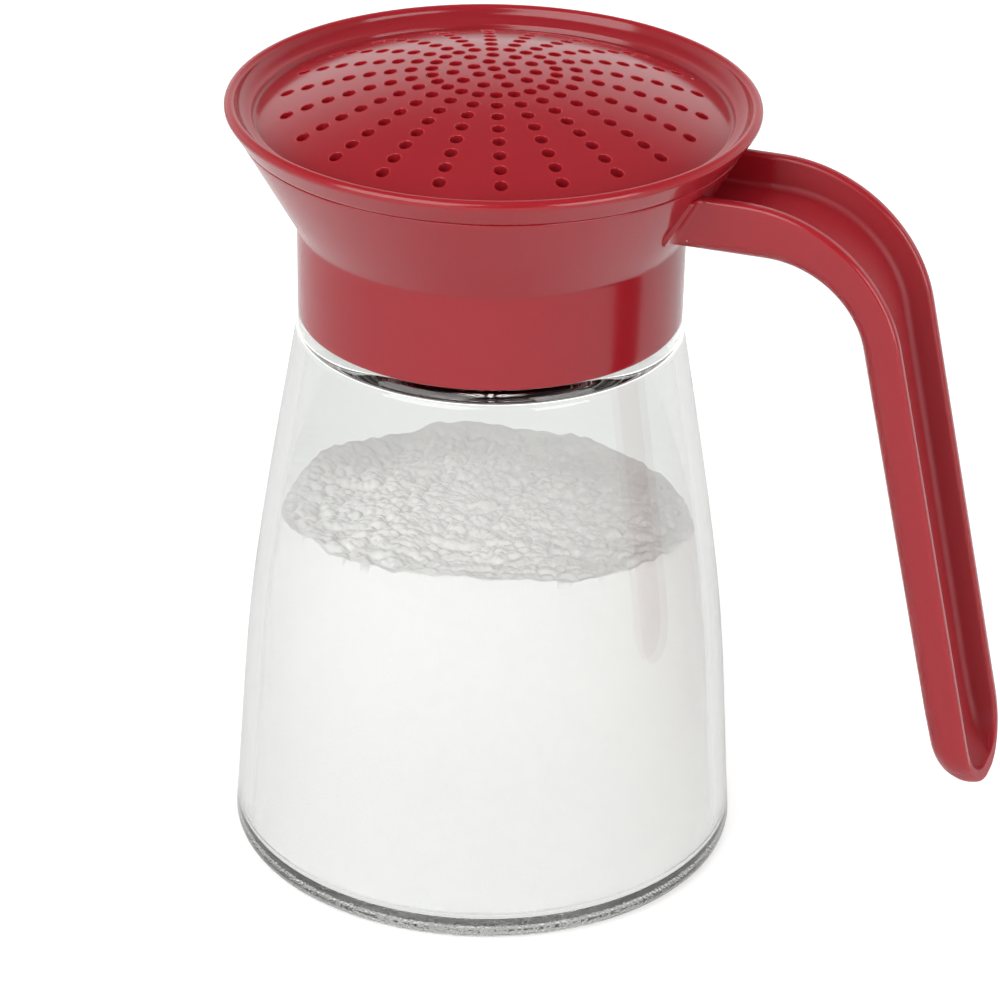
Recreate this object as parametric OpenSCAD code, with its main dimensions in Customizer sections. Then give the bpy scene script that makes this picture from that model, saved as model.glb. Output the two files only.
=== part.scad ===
// Handled sugar shaker: a glass jar, and a moulded head that screws onto it.
// The head is a flared collar with an open channel handle in one piece, closed by a domed sieve.
// Millimetres. Origin: middle of the jar's foot. +Z up. The handle points along +X.

/* [Jar] */
// Height of the jar's rim above the table
jar_h = 105.3; // [102:0.1:116]
// Radius of the jar where its heel ends and its wall begins
base_r = 41.15; // [39:0.05:44]
// Radius that rounds the heel, between the foot and the wall
heel_r = 2.2; // [1.5:0.1:4]
// Radius that rounds the corner inside, between the bottom and the wall
inner_heel_r = 1.6; // [1:0.1:5]
// Radius of the wall where the shoulder begins
shoulder_r = 31.4; // [30.5:0.1:34]
// Height of the shoulder, from where it begins up to the neck
shoulder_h = 10.5; // [8:0.1:11]
// Height of the neck, from the shoulder up to the rim
neck_h = 9.3; // [8.5:0.1:12]
// Outer radius of the neck, at the root of its screw thread
neck_r = 27.75; // [27:0.05:28]
// Thickness of the glass wall
glass_t = 2.6; // [2:0.1:3.2]
// Thickness of the glass in the neck
neck_t = 3.1; // [2.5:0.1:3.5]
// Thickness of the glass bottom
bottom_t = 2.2; // [1.8:0.1:4.5]
// Depth of the hollow under the bottom
push_up = 0.5; // [0.3:0.1:1.6]
// Width of the ring that the jar stands on
foot_w = 3.2; // [2:0.1:4.5]
// Height that the ring under the neck's thread stands proud of the neck
bead_h = 0.8; // [0.4:0.1:0.9]

/* [Sugar] */
// Height of the sugar's surface above the table
sugar_level = 58; // [30:1:72]
// Rise of the surface for each millimetre towards the front of the jar
sugar_slope = 0.09; // [0:0.01:0.15]
// Height of the lumps in the surface
sugar_lump = 0.8; // [0:0.1:1.5]
// Gap between the sugar and the glass
sugar_gap = 0.3; // [0.2:0.05:0.6]

/* [Seal] */
// Thickness of the seal ring that lies on the jar's rim
seal_t = 1; // [0.6:0.1:1.6]
// Gap between the seal ring and what is beside it or above it
seal_gap = 0.15; // [0.1:0.05:0.25]

/* [Collar] */
// Outer radius of the screw skirt at its lower edge
skirt_r = 30.35; // [30.2:0.05:31]
// Height of the skirt, from its lower edge to the shelf that meets the seal ring
skirt_h = 14.3; // [12:0.1:14.4]
// Gap between the skirt's bore and the neck's thread
thread_gap = 0.2; // [0.15:0.05:0.3]
// Height that the neck's thread stands proud of the neck
thread_h = 1; // [0.8:0.05:1.1]
// Sideways growth of the skirt, from its lower edge to its top
skirt_draft = 0.1; // [0:0.05:0.3]
// Height of the flare, from the skirt's top to the seam with the sieve
flare_h = 15.8; // [13:0.1:18]
// Outer radius of the flare at the seam
flare_r = 39.45; // [38:0.05:42]
// Thickness of the flare's wall, measured level
flare_t = 1.9; // [1.6:0.1:2.4]
// Thickness of the shelf that meets the seal ring
shelf_t = 1.6; // [1.2:0.1:2]
// Width of the shelf's opening beyond the jar's mouth, on each side
shelf_gap = 0.8; // [0.4:0.1:1.5]

/* [Sieve] */
// Height of the sieve's outer band, from the seam to the crest of its rim
band_h = 4.45; // [4:0.05:6]
// Outer radius of the rim
rim_r = 41.55; // [40.5:0.05:44]
// Radius that rounds the crest of the rim
crest_r = 0.9; // [0.6:0.05:1.2]
// Radius of the ledge inside the rim
ledge_r = 37.4; // [36.5:0.05:38.4]
// Height from the ledge up to the crest of the rim
ledge_drop = 2.25; // [1.6:0.05:2.8]
// Height of the step from the foot of the dome up to the ledge
ledge_step = 0.9; // [0.5:0.1:1.2]
// Height of the dome, from its foot to its crown
dome_h = 7.9; // [6:0.1:10]
// Thickness of the dome
dome_t = 1.6; // [1.2:0.1:2.2]
// Depth of the plug that presses into the flare
plug_h = 4.6; // [3:0.1:6]
// Thickness of the plug
plug_t = 1.3; // [1:0.1:1.8]
// Gap between the plug and the flare
plug_gap = 0.06; // [0.04:0.01:0.12]
// Radius of the bead that holds the plug in the flare's groove
snap_r = 0.4; // [0.3:0.05:0.5]

/* [Holes] */
// Diameter of a hole
hole_d = 2; // [1.4:0.1:2.3]
// Spacing of the rings of holes
ring_pitch = 3.215; // [3:0.005:3.4]
// Number of rings round the middle hole
rings = 10; // [4:1:10]
// Number of holes in each full ring
rays = 22; // [12:2:24]
// Turn of the hole pattern from the handle's side
ray_turn = -3.4; // [-8:0.1:8]

/* [Handle] */
// Width of the handle at the collar
handle_w = 22.4; // [20:0.1:24]
// Narrowing of the handle from the collar to its tip
handle_taper = 1; // [0:0.1:2]
// Thickness of the handle's side walls
handle_t = 2; // [1.6:0.1:2.4]
// Thickness of the channel's floor at the collar
root_floor_t = 3.8; // [2:0.1:4.5]
// Thickness of the channel's floor along the grip
grip_floor_t = 2; // [1.6:0.1:2.4]
// Drop from the seam to the open edge of the handle at the collar
handle_drop = 2.5; // [1.5:0.1:3.5]
// Depth of the handle at the collar, from open edge to back
root_depth = 9.1; // [8:0.1:10]
// Depth of the handle along the grip
grip_depth = 6.4; // [5.8:0.1:7.5]
// Distance from the jar's axis to where the open edge starts to bend
bend_x = 43.4; // [42:0.1:47]
// Radius of the bend in the open edge
bend_r = 26; // [22:0.5:30]
// Lean of the grip away from upright
grip_lean = 12.4; // [8:0.1:15]
// Length of the straight grip
grip_l = 77; // [60:0.5:84]
// Radius that rounds the handle's back corners
back_r = 3.4; // [2:0.1:4]
// Radius that rounds the tip, seen from outside
tip_r = 9.2; // [5:0.1:9.4]
// Length of the tip's rounded back, seen from the side
tip_side_l = 12; // [4:0.5:14]
// How far the rounded back comes in at the tip
tip_side_in = 5; // [2:0.1:5.2]
// Width of the rounded corner where the handle leaves the flare
root_fillet = 1.8; // [0.5:0.1:2.5]

/* [Hidden] */

// facets of the turned pieces
round_fn = 180;
// points in a curve of the jar's wall
wall_steps = 16;
// points in a small rounded corner
corner_steps = 5;

// the jar
neck_z = jar_h - neck_h;
shoulder_z = neck_z - shoulder_h;
// lean of the wall at the heel and at the shoulder
wall_slope = 0.072;
shoulder_slope = 0.172;
// how far the two curves of the wall follow their ends, as shares of their heights
wall_reach = [0.44, 0.59];
shoulder_reach = [0.38, 0.29];
rim_round = 1;
mouth_r = neck_r - neck_t;
bead_z = neck_z + 1.6;
// half heights of the bead at its crest and at its foot
bead_crest = 0.4;
bead_foot = 1.4;

// the head, from the seal upwards
thread_r = neck_r + thread_h;
bore_r = thread_r + thread_gap;
shelf_z = jar_h + seal_t + seal_gap;
shelf_r = mouth_r + shelf_gap;
skirt_z = shelf_z - skirt_h;
skirt_top_z = shelf_z + 1.1;
skirt_top_r = skirt_r + skirt_draft;
skirt_lip = 0.5;
seam_z = skirt_top_z + flare_h;
funnel_z = shelf_z + shelf_t + 0.8;
flare_lean = (flare_r - skirt_top_r) / flare_h;
seam_groove = 0.35;

// the sieve
crest_z = seam_z + band_h;
ledge_z = crest_z - ledge_drop;
dome_foot_z = ledge_z - ledge_step;
dome_foot_r = ledge_r - 0.4;
dome_r = (dome_foot_r * dome_foot_r + dome_h * dome_h) / (2 * dome_h);
dome_mid_z = dome_foot_z + dome_h - dome_r;
snap_z = seam_z - plug_h * 0.6;
// how far the tools that cut the dome reach past it, above and below
past_dome = 3;

// turn of the six inner holes against the rays
inner_turn = 6.8;

// the handle
handle_z = seam_z - handle_drop;
back_z = handle_z - root_depth;
// how far the flare curves away from the middle of the handle to its sides
side_in = flare_r - sqrt(flare_r * flare_r - handle_w * handle_w / 4);
edge_round = 0.5;
wall_draft = 0.3;
end_draft = 0.2;
bend_turn = 90 - grip_lean;
bend_steps = 10;
// along the grip, and from its open edge in to its back
grip_way = [sin(grip_lean), -cos(grip_lean)];
grip_in = [-cos(grip_lean), -sin(grip_lean)];
// the bend in the back ends where the grip's depth puts it
back_bend_end = bend_edge(bend_turn) + grip_depth * grip_in;
back_bend_r = (back_z - back_bend_end[1]) / (1 - cos(bend_turn));
back_bend_x = back_bend_end[0] - back_bend_r * sin(bend_turn);
channel_end = grip_l - handle_t;
// the channel's share of the handle's depth
root_channel = 1 - root_floor_t / root_depth;
grip_channel = 1 - grip_floor_t / grip_depth;

// The flare's outer and inner radius at height z.
function flare_outer(z) = skirt_top_r + flare_lean * (z - skirt_top_z);
function flare_inner(z) = flare_outer(z) - flare_t;

// A point of a cubic curve through a and d, with handles b and c.
function bezier(a, b, c, d, t) =
    pow(1 - t, 3) * a + 3 * t * pow(1 - t, 2) * b + 3 * t * t * (1 - t) * c + pow(t, 3) * d;
// Points of that curve without its first one.
function curve(a, b, c, d, steps) = [for (i = [1:steps]) bezier(a, b, c, d, i / steps)];
// Points on an arc about mid, from one angle to another.
function arc(mid, r, from, to, steps = corner_steps) =
    [for (i = [0:steps]) let (a = from + (to - from) * i / steps) mid + r * [cos(a), sin(a)]];

// The jar's wall from the heel up to the neck, moved inwards by the thickness of the glass.
function wall_points(inset_low, inset_high) =
    let (
        low = [base_r - inset_low, heel_r],
        high = [shoulder_r - inset_low, shoulder_z],
        neck = [neck_r - inset_high, neck_z],
        reach = (shoulder_z - heel_r) * wall_reach,
        short_reach = shoulder_h * shoulder_reach
    )
    concat(
        [low],
        curve(low, low + reach[0] * [-wall_slope, 1], high - reach[1] * [-shoulder_slope, 1], high, wall_steps),
        curve(high, high + short_reach[0] * [-shoulder_slope, 1], neck - [0, short_reach[1]], neck,
            wall_steps / 2)
    );

// The inner radius of the jar at height z, read from the points of its wall.
function jar_inner_r(z) = let (w = wall_points(glass_t, neck_t)) lookup(z, [for (p = w) [p[1], p[0]]]);

module jar_section() {
    foot_r = base_r - heel_r;
    outside = concat(
        [[0, push_up], [foot_r - foot_w - push_up, push_up], [foot_r - foot_w, 0]],
        arc([foot_r, heel_r], heel_r, -90, -10),
        wall_points(0, 0)
    );
    rim = concat(
        arc([neck_r - rim_round, jar_h - rim_round], rim_round, 0, 90),
        arc([mouth_r + rim_round, jar_h - rim_round], rim_round, 90, 180)
    );
    inner_r = base_r - glass_t;
    wall = wall_points(glass_t, neck_t);
    inside = concat(
        [for (i = [len(wall) - 1:-1:1]) wall[i]],
        arc([inner_r - inner_heel_r, push_up + bottom_t + inner_heel_r], inner_heel_r, 0, -90),
        [[0, push_up + bottom_t]]
    );
    polygon(concat(outside, rim, inside));
}

module jar() {
    color([0.86, 0.9, 0.87, 0.45]) {
        rotate_extrude($fn = round_fn) jar_section();
        // the ring under the thread
        translate([0, 0, bead_z]) rotate_extrude($fn = round_fn) translate([neck_r, 0])
            polygon([[-0.5, -bead_foot], [0, -bead_foot], [bead_h, -bead_crest],
                [bead_h, bead_crest], [0, bead_foot], [-0.5, bead_foot]]);
    }
}

// The height of the sugar's surface at a point.
function sugar_z(x, y) =
    sugar_level - sugar_slope * y
    + sugar_lump * (sin(13 * x + 7 * y) * cos(11 * y - 5 * x) + 0.5 * sin(23 * x) * sin(19 * y + 40));

// A closed loop of n points, each given by its angle.
function sugar_loop(r, z, n) = [for (i = [0:n - 1]) let (a = 360 * i / n) [r * cos(a), r * sin(a), z]];
// A loop on the surface, at a share of the way from the middle to the glass.
function sugar_top_loop(share, n) =
    let (r = share * (jar_inner_r(sugar_level) - sugar_gap))
    [for (i = [0:n - 1]) let (x = r * cos(360 * i / n), y = r * sin(360 * i / n)) [x, y, sugar_z(x, y)]];

// Triangles that close a loop of n points, in strips between its first and second half.
function strip_cap(first, n) = [
    for (i = [0:n / 2 - 2])
        let (a = first + i, b = first + n - 1 - i)
        each [[a, a + 1, b - 1], [a, b - 1, b]]
];
// Triangles that close a loop of n points, all from the one a quarter of the way round it.
function fan_cap(first, n) =
    let (hub = floor(n / 4))
    [for (i = [1:n - 2]) [first + hub, first + (hub + i + 1) % n, first + (hub + i) % n]];

// A solid through closed loops of the same even number of points, with both ends closed.
module skin(loops) {
    n = len(loops[0]);
    sides = [
        for (k = [0:len(loops) - 2], i = [0:n - 1])
            let (a = k * n + i, b = k * n + (i + 1) % n)
            each [[a, a + n, b + n], [a, b + n, b]]
    ];
    polyhedron([for (l = loops) each l], concat(strip_cap(0, n), sides, fan_cap((len(loops) - 1) * n, n)));
}

module sugar_fill() {
    n = 40;
    low_z = push_up + bottom_t + sugar_gap;
    corner = inner_heel_r - sugar_gap;
    low_r = base_r - glass_t - sugar_gap;
    side_top = sugar_level - 6;
    corner_loops = [
        for (p = arc([low_r - corner, low_z + corner], corner, -90, 0, 4)) sugar_loop(p[0], p[1], n)
    ];
    side_loops = [
        for (i = [1:6]) let (z = low_z + corner + (side_top - low_z - corner) * i / 6)
            sugar_loop(jar_inner_r(z) - sugar_gap, z, n)
    ];
    top_loops = [for (share = [1, 0.86, 0.72, 0.58, 0.44, 0.3, 0.16]) sugar_top_loop(share, n)];
    color([0.95, 0.95, 0.94])
        skin(concat(corner_loops, side_loops, top_loops, [sugar_loop(1.5, sugar_z(0, 0), n)]));
}

module seal_ring() {
    color([0.93, 0.92, 0.88]) translate([0, 0, jar_h]) difference() {
        cylinder(h = seal_t, r = bore_r - seal_gap, $fn = round_fn);
        translate([0, 0, -1]) cylinder(h = seal_t + 2, r = shelf_r, $fn = round_fn);
    }
}

// Outline of the collar's outside: skirt, flare and the rounded edge at the seam.
module collar_outside() {
    polygon(concat(
        [[0, skirt_z]],
        arc([skirt_r - skirt_lip, skirt_z + skirt_lip], skirt_lip, -90, 0),
        [[skirt_top_r, skirt_top_z], [flare_outer(seam_z - seam_groove), seam_z - seam_groove],
            [flare_r - seam_groove, seam_z], [0, seam_z]]
    ));
}

// Outline of the space inside the collar: screw socket, shelf opening and funnel.
module collar_inside() {
    over = 1;
    polygon([
        [0, skirt_z - over], [bore_r + 0.4, skirt_z - over], [bore_r + 0.4, skirt_z + 0.3],
        [bore_r, skirt_z + 1], [bore_r, shelf_z], [shelf_r, shelf_z], [shelf_r, shelf_z + shelf_t - 0.4],
        [flare_inner(funnel_z), funnel_z], [flare_inner(seam_z + over), seam_z + over], [0, seam_z + over]
    ]);
}

// How far a corner of radius r has come in where left is what remains before its end.
function round_in(r, left) = left >= r ? 0 : r - sqrt(r * r - (r - left) * (r - left));

// A cross-section of the handle, from its open edge down both sides to its back.
// It starts at point edge and ends at point back. Both are in the plane of the handle.
// w is its half width, cw and cd are the half width and the depth of the channel.
function handle_section(edge, back, w, cw, cd) =
    let (
        d = norm(back - edge),
        down = (back - edge) / d,
        r = min(back_r, 0.9 * w, 0.6 * (d - edge_round)),
        cr = min(back_r - handle_t / 2, 0.7 * cw),
        floor_side = arc([cw - min(wall_draft, 0.1 * cw) - cr, cd - cr], cr, 90, 0),
        closed = [for (i = [0:corner_steps]) [cw * (i + 0.5) / (corner_steps + 1.5), 0]],
        half = cd > 0 ? floor_side : closed,
        outline = concat(
            [[w - edge_round, 0], [w, edge_round]],
            arc([w - r, d - r], r, 0, 90),
            arc([r - w, d - r], r, 90, 180),
            [[-w, edge_round], [edge_round - w, 0], [-cw, 0]],
            [for (i = [corner_steps:-1:0]) [-half[i][0], half[i][1]]],
            half,
            [[cw, 0]]
        )
    )
    [for (p = outline) [edge[0] + down[0] * p[1], -p[0], edge[1] + down[1] * p[1]]];

// The open edge and the back where the handle leaves the flare, a distance off its surface.
function root_edge(off) = [flare_outer(handle_z) + off, handle_z];
function root_back(off) = [flare_outer(back_z) + off, back_z];
// The open edge and the back along the bend, turned by an angle from level.
function bend_edge(a) = [bend_x, handle_z] + bend_r * [sin(a), cos(a) - 1];
function bend_back(a) = [back_bend_x, back_z] + back_bend_r * [sin(a), cos(a) - 1];

// The cross-sections from inside the flare's wall to the start of the bend.
// They widen towards the flare, which rounds the corner between the two.
function root_loops() = [
    for (off = [-0.9, 0.1, 0.3, 0.6, 1] * root_fillet)
        let (
            w = handle_w / 2 + round_in(root_fillet, max(off, 0)),
            edge = root_edge(off - side_in),
            back = root_back(off - side_in)
        )
        handle_section(edge, back, w, handle_w / 2 - handle_t, norm(edge - back) * root_channel)
];

// The cross-sections round the bend, where the floor thins to the grip's.
function bend_loops() = [
    for (i = [0:bend_steps])
        let (
            a = bend_turn * i / bend_steps,
            share = root_channel + (grip_channel - root_channel) * i / bend_steps,
            d = norm(bend_edge(a) - bend_back(a))
        )
        handle_section(bend_edge(a), bend_back(a), handle_w / 2, handle_w / 2 - handle_t, d * share)
];

// A cross-section of the grip at a distance u from the bend.
// Near the tip the sides and the back come in, and the channel ends in a wall.
function grip_loop(u) =
    let (
        full = (handle_w - handle_taper * u / grip_l) / 2,
        edge = bend_edge(bend_turn) + u * grip_way,
        d = grip_depth - tip_side_in * round_in(tip_side_l, grip_l - u) / tip_side_l,
        w = full - round_in(tip_r, grip_l - u),
        open = u <= channel_end,
        cw = open ? full - handle_t - round_in(tip_r - handle_t, channel_end - u) : 0.7 * (w - edge_round)
    )
    handle_section(edge, edge + d * grip_in, w, cw, open ? d - grip_floor_t : 0);

function grip_loops() =
    let (inner_tip_r = tip_r - handle_t, wall = handle_t - end_draft)
    concat(
        [for (i = [1:3]) grip_loop((channel_end - inner_tip_r) * i / 4)],
        [for (a = [0:15:90]) grip_loop(channel_end - inner_tip_r * (1 - sin(a)))],
        [for (a = [0:22.5:90]) grip_loop(grip_l - wall * (1 - sin(a)))]
    );

module handled_collar() {
    color([0.66, 0.13, 0.16]) difference() {
        union() {
            rotate_extrude($fn = round_fn) collar_outside();
            skin(concat(root_loops(), bend_loops(), grip_loops()));
        }
        rotate_extrude($fn = round_fn) collar_inside();
        // the groove that the sieve snaps into
        rotate_extrude($fn = round_fn) translate([flare_inner(snap_z) - plug_gap, snap_z])
            circle(r = snap_r + plug_gap, $fn = 24);
    }
}

// Outline of the sieve's rim, with its ledge inside and the plug below it.
module rim_section() {
    plug_z = seam_z - plug_h;
    inside_z = dome_foot_z - 1;
    crest_mid = [rim_r - crest_r, crest_z - crest_r];
    crest_in = crest_mid + crest_r * [cos(160), sin(160)];
    polygon(concat(
        [[plug_inner(plug_z), plug_z], [flare_inner(plug_z) - plug_gap, plug_z],
            [flare_inner(seam_z) - plug_gap, seam_z], [flare_r - seam_groove, seam_z],
            [flare_outer(seam_z + seam_groove), seam_z + seam_groove]],
        arc(crest_mid, crest_r, -28, 160, 2 * corner_steps),
        curve(crest_in, crest_in - [0.3, 1], [ledge_r + 1, ledge_z + 0.1], [ledge_r, ledge_z], corner_steps),
        [[dome_foot_r, dome_foot_z], [dome_foot_r - 0.4, dome_foot_z - 0.5],
            [plug_inner(inside_z), inside_z]]
    ));
}

// The plug's inner radius at height z.
function plug_inner(z) = flare_inner(z) - plug_gap - plug_t;

module dome_shell() {
    intersection() {
        translate([0, 0, dome_mid_z]) difference() {
            sphere(r = dome_r, $fn = 2 * round_fn);
            sphere(r = dome_r - dome_t, $fn = 2 * round_fn);
        }
        translate([0, 0, dome_foot_z - past_dome])
            cylinder(h = dome_h + 2 * past_dome, r = dome_foot_r, $fn = round_fn);
    }
}

// How many holes a ring has: one in the middle, six round it, then half and full rings.
function hole_count(ring) = ring == 0 ? 1 : ring == 1 ? 6 : ring == 2 ? rays / 2 : rays;
// The angle of a ring's first hole. The half ring takes every second ray.
function first_hole(ring) = ray_turn + (ring == 1 ? inner_turn : ring == 2 ? 360 / rays : 0);

module holes() {
    for (ring = [0:rings], i = [0:hole_count(ring) - 1])
        rotate(first_hole(ring) + 360 * i / hole_count(ring))
            translate([ring * ring_pitch, 0, dome_foot_z - past_dome])
                cylinder(h = dome_h + 2 * past_dome, d = hole_d, $fn = 24);
}

module sieve_cap() {
    color([0.66, 0.13, 0.16]) difference() {
        union() {
            rotate_extrude($fn = round_fn) rim_section();
            dome_shell();
            // the bead that snaps into the flare
            rotate_extrude($fn = round_fn) translate([flare_inner(snap_z) - plug_gap, snap_z])
                circle(r = snap_r, $fn = 24);
        }
        holes();
    }
}

jar();
sugar_fill();
seal_ring();
handled_collar();
sieve_cap();
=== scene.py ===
"""Handled sugar shaker: powdered sugar in a glass jar, under a red moulded head with a sieve on top."""

from math import asin, atan, atan2, cos, degrees, pi, radians, sin, sqrt

import bmesh
import bpy
from mathutils import Matrix, Vector, noise


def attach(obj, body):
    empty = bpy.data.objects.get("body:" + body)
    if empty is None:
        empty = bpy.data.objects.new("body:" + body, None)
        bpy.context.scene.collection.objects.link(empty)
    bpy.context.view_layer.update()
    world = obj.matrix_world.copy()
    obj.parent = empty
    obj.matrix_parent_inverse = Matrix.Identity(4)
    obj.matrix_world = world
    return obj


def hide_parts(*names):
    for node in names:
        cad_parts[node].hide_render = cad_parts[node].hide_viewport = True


MM = 0.001

# Sizes in millimetres. The solids have the same, apart from the level shoulder, the channel's corner, the
# threads, the sugar's crumbs and the beads round the holes. The rim is 0.02 mm smaller than the solid's.
JAR_H = 105.3
BASE_R = 41.15
HEEL_R = 2.2
INNER_HEEL_R = 1.6
SHOULDER_R = 31.4
SHOULDER_Z = 85.5
SHOULDER_ROUND = 1.9
SHOULDER_GAP = 0.3
NECK_FILLET = 0.8
NECK_R = 27.75
GLASS_T = 2.6
NECK_T = 3.1
BOTTOM_T = 2.2
PUSH_UP = 0.5
FOOT_W = 3.2
FOOT_ROUND = 0.6
MOUTH_ROUND = 1
BEAD_H = 0.8
BEAD_REACH = 1.5
BEAD_Z = JAR_H - 7.7
MOUTH_R = NECK_R - NECK_T
# how far the wall leans in at the heel and at the shoulder, for each millimetre up
WALL_SLOPE = 0.072
SHOULDER_SLOPE = 0.172
# how far the wall keeps those slopes, as shares of its height
WALL_REACH = 0.44
SHOULDER_REACH = 0.59

THREAD_PITCH = 25.4 / 6
THREAD_H = 1.0
THREAD_W = 2.2
THREAD_GAP = 0.2
# where the two threads start, and the turns that each runs from and to
NECK_THREAD_Z = 100.0
NECK_THREAD_TURNS = (0.0, 0.875)
SKIRT_THREAD_Z = 97.9
SKIRT_THREAD_TURNS = (0.63, 1.43)
# the turns over which a thread's ends fade, and how steep its flanks are
THREAD_FADE = 0.06
THREAD_FLANK = 1.6

SUGAR_LEVEL = 58.0
SUGAR_SLOPE = 0.09
SUGAR_GAP = 0.3
DRIFT_H = 1.3
DRIFT_L = 11
HOLLOW_H = 2.6
HOLLOW_W = 14
CRUMB_H = 0.85
CRUMB_W = 2.6
FINE_CRUMB_H = 0.4
FINE_CRUMB_W = 1.3
CRUMBS_MEAN = 0.6
EDGE_H = 0.7
EDGE_W = 2.5
# the share of the crumbs' height that is left where the glass presses them
PRESSED = 0.15

SEAL_T = 1.0
SEAL_GAP = 0.15
SEAL_ROUND = 0.15
BORE_R = NECK_R + THREAD_H + THREAD_GAP
SHELF_Z = JAR_H + SEAL_T + SEAL_GAP
SHELF_GAP = 0.8
SHELF_R = MOUTH_R + SHELF_GAP
SHELF_T = 1.6
SKIRT_R = 30.35
SKIRT_TOP_R = 30.45
SKIRT_H = 14.3
SKIRT_Z = SHELF_Z - SKIRT_H
SKIRT_LIP = 0.5
NECK_Z = SKIRT_Z - SHOULDER_GAP
SKIRT_TOP_Z = SHELF_Z + 1.1
FLARE_H = 15.8
SEAM_Z = SKIRT_TOP_Z + FLARE_H
FLARE_R = 39.45
FLARE_T = 1.9
FLARE_EASE = 0.5
FUNNEL_Z = SHELF_Z + SHELF_T + 0.8
SEAM_GROOVE = 0.35

BAND_H = 4.45
CREST_Z = SEAM_Z + BAND_H
RIM_R = 41.53
CREST_R = 0.9
LEDGE_R = 37.4
LEDGE_DROP = 2.25
LEDGE_STEP = 0.9
LEDGE_Z = CREST_Z - LEDGE_DROP
DOME_FOOT_Z = LEDGE_Z - LEDGE_STEP
DOME_FOOT_R = LEDGE_R - 0.4
DOME_H = 7.9
DOME_T = 1.6
DOME_R = (DOME_FOOT_R**2 + DOME_H**2) / (2 * DOME_H)
# the dome lies lower than the solid's by a little more than the beads rise
DOME_SINK = 0.06
DOME_MID_Z = DOME_FOOT_Z + DOME_H - DOME_R - DOME_SINK
PLUG_H = 4.6
PLUG_T = 1.3
PLUG_GAP = 0.06
SNAP_Z = SEAM_Z - 0.6 * PLUG_H
SNAP_R = 0.4
SNAP_REACH = 0.6

HOLE_R = 1.0
LIP_R = 0.12
LIP_RISE = 0.05
BORE_BEVEL = 0.1
RING_PITCH = 3.215
RINGS = 10
RAYS = 22
RAY_TURN = -3.4
INNER_TURN = 6.8
SECTOR = 6

HANDLE_W = 22.4
HANDLE_TAPER = 1.0
HANDLE_T = 2.0
HANDLE_DROP = 2.5
HANDLE_Z = SEAM_Z - HANDLE_DROP
ROOT_DEPTH = 9.1
ROOT_FLOOR_T = 3.8
ROOT_FILLET = 1.8
GRIP_DEPTH = 6.4
GRIP_FLOOR_T = 2.0
GRIP_L = 77.0
BACK_Z = HANDLE_Z - ROOT_DEPTH
BEND_X = 43.4
BEND_R = 26.0
GRIP_LEAN = 12.4
BEND_TURN = 90 - GRIP_LEAN
BACK_R = 3.4
TIP_R = 9.2
TIP_SIDE_L = 12.0
TIP_SIDE_IN = 5.0
EDGE_R = 0.7
POCKET_L = 3.5
CHANNEL_R = 1.2
CHANNEL_DRAFT = 0.3

# a turned outline starts this far from the axis, and a point this near to a wall counts as on it
AXIS_R = 0.01
NEAR = 0.01
# edges that turn by more degrees than this stay sharp
SHARP = 32

# points round the jar and the collar, the seal and the sugar, and rings in the sugar's wall and top
ROUND_STEPS = 240
SEAL_STEPS = 192
SUGAR_STEPS = 600
SUGAR_WALL_RINGS = 32
SUGAR_TOP_RINGS = 140

# the camera's heading from +X, its pitch and its roll, its place in metres and its lens in millimetres
HEADING = radians(108.658)
PITCH = radians(-27.297)
ROLL = radians(1.024)
CAMERA_PLACE = (0.19144, -0.5605, 0.3637)
LENS = 148.385


def linear(hex_colour):
    """The linear RGBA of an sRGB hex colour."""
    parts = [int(hex_colour[i : i + 2], 16) / 255 for i in (1, 3, 5)]
    return tuple(c / 12.92 if c <= 0.04045 else ((c + 0.055) / 1.055) ** 2.4 for c in parts) + (1.0,)


# ---------------------------------------------------------------- outlines

def arc(mid, r, start, end, steps=8):
    """Points on an arc about mid, between two angles in degrees."""
    angles = [radians(start + (end - start) * i / steps) for i in range(steps + 1)]
    return [(mid[0] + r * cos(a), mid[1] + r * sin(a)) for a in angles]


def curve(a, b, c, d, steps):
    """Points of a cubic curve through a and d with handles b and c, without its first point."""
    points = []
    for i in range(1, steps + 1):
        t = i / steps
        weights = ((1 - t) ** 3, 3 * t * (1 - t) ** 2, 3 * t * t * (1 - t), t**3)
        points.append(tuple(sum(w * p[k] for w, p in zip(weights, (a, b, c, d))) for k in (0, 1)))
    return points


def line(a, b, steps):
    """Points from a to b without the first one."""
    across, up = b[0] - a[0], b[1] - a[1]
    return [(a[0] + across * i / steps, a[1] + up * i / steps) for i in range(1, steps + 1)]


def flare_outer(z):
    """The flare's outer radius at height z."""
    return SKIRT_TOP_R + (FLARE_R - SKIRT_TOP_R) * (z - SKIRT_TOP_Z) / (SEAM_Z - SKIRT_TOP_Z)


def flare_inner(z):
    return flare_outer(z) - FLARE_T


def plug_inner(z):
    return flare_inner(z) - PLUG_GAP - PLUG_T


# ---------------------------------------------------------------- meshes

def piece(name, points, faces, material, sharp=SHARP):
    """A smooth-shaded object from points in millimetres, with edges above an angle kept sharp."""
    mesh = bpy.data.meshes.new(name)
    mesh.from_pydata([Vector(p) * MM for p in points], [], faces)
    cleaned = bmesh.new()
    cleaned.from_mesh(mesh)
    bmesh.ops.remove_doubles(cleaned, verts=cleaned.verts, dist=1e-6)
    bmesh.ops.recalc_face_normals(cleaned, faces=cleaned.faces)
    cleaned.to_mesh(mesh)
    cleaned.free()
    mesh.shade_smooth()
    mesh.set_sharp_from_angle(angle=radians(sharp))
    mesh.materials.append(material)
    obj = bpy.data.objects.new(name, mesh)
    bpy.context.scene.collection.objects.link(obj)
    return obj


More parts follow.
